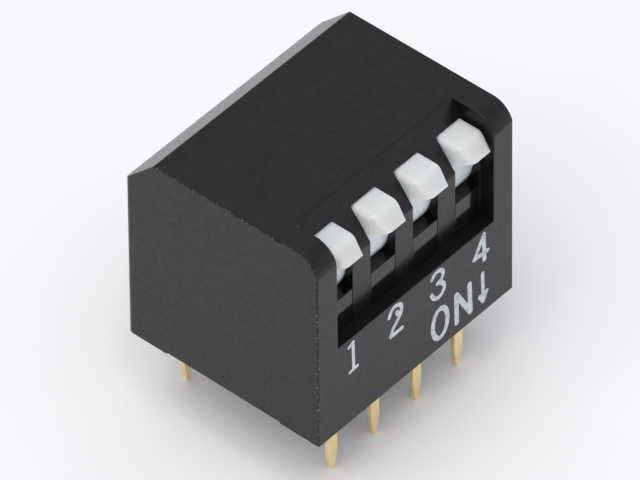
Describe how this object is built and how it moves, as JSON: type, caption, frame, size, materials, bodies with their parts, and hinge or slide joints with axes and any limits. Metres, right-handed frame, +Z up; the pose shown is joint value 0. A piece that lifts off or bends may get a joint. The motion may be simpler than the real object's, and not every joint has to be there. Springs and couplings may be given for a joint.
{
  "type": "dip switch",
  "caption": "Board-mounted piano-type switch block: a black housing with white rocking levers along the front edge and two rows of straight pins below.",
  "frame": {"origin": "centre of the pin grid on the seating plane, the underside of the housing's rim", "axes": "+Z up, away from the board; +X along the row of levers, from pole 1 to pole 4; the levers face -Y"},
  "size_m": [0.0116, 0.0098, 0.0134],
  "materials": {
    "cover_black": "moulded black thermoplastic, semi-gloss",
    "base_black": "moulded black thermoplastic, gloss",
    "potting": "cured dark resin",
    "lever_white": "moulded white thermoplastic, satin",
    "contact_bronze": "gold-plated spring bronze",
    "terminal_gold": "gold-flashed brass sheet"
  },
  "bodies": {
    "housing": {"cover": "cover_black", "base": "base_black", "seal": "potting", "terminal_1": "terminal_gold", "terminal_2": "terminal_gold", "terminal_3": "terminal_gold", "terminal_4": "terminal_gold", "terminal_5": "terminal_gold", "terminal_6": "terminal_gold", "terminal_7": "terminal_gold", "terminal_8": "terminal_gold"},
    "rocker_1": {"lever_1": "lever_white", "moving_contact_1": "contact_bronze"},
    "rocker_2": {"lever_2": "lever_white", "moving_contact_2": "contact_bronze"},
    "rocker_3": {"lever_3": "lever_white", "moving_contact_3": "contact_bronze"},
    "rocker_4": {"lever_4": "lever_white", "moving_contact_4": "contact_bronze"}
  },
  "joints": [
    {"name": "lever_1_tilt", "type": "hinge", "parent": "housing", "child": "rocker_1", "pos_m": [-0.00381, -0.001, 0.0076], "axis": [1, 0, 0], "range_deg": [0, 20]},
    {"name": "lever_2_tilt", "type": "hinge", "parent": "housing", "child": "rocker_2", "pos_m": [-0.00127, -0.001, 0.0076], "axis": [1, 0, 0], "range_deg": [0, 20]},
    {"name": "lever_3_tilt", "type": "hinge", "parent": "housing", "child": "rocker_3", "pos_m": [0.00127, -0.001, 0.0076], "axis": [1, 0, 0], "range_deg": [0, 20]},
    {"name": "lever_4_tilt", "type": "hinge", "parent": "housing", "child": "rocker_4", "pos_m": [0.00381, -0.001, 0.0076], "axis": [1, 0, 0], "range_deg": [0, 20]}
  ]
}
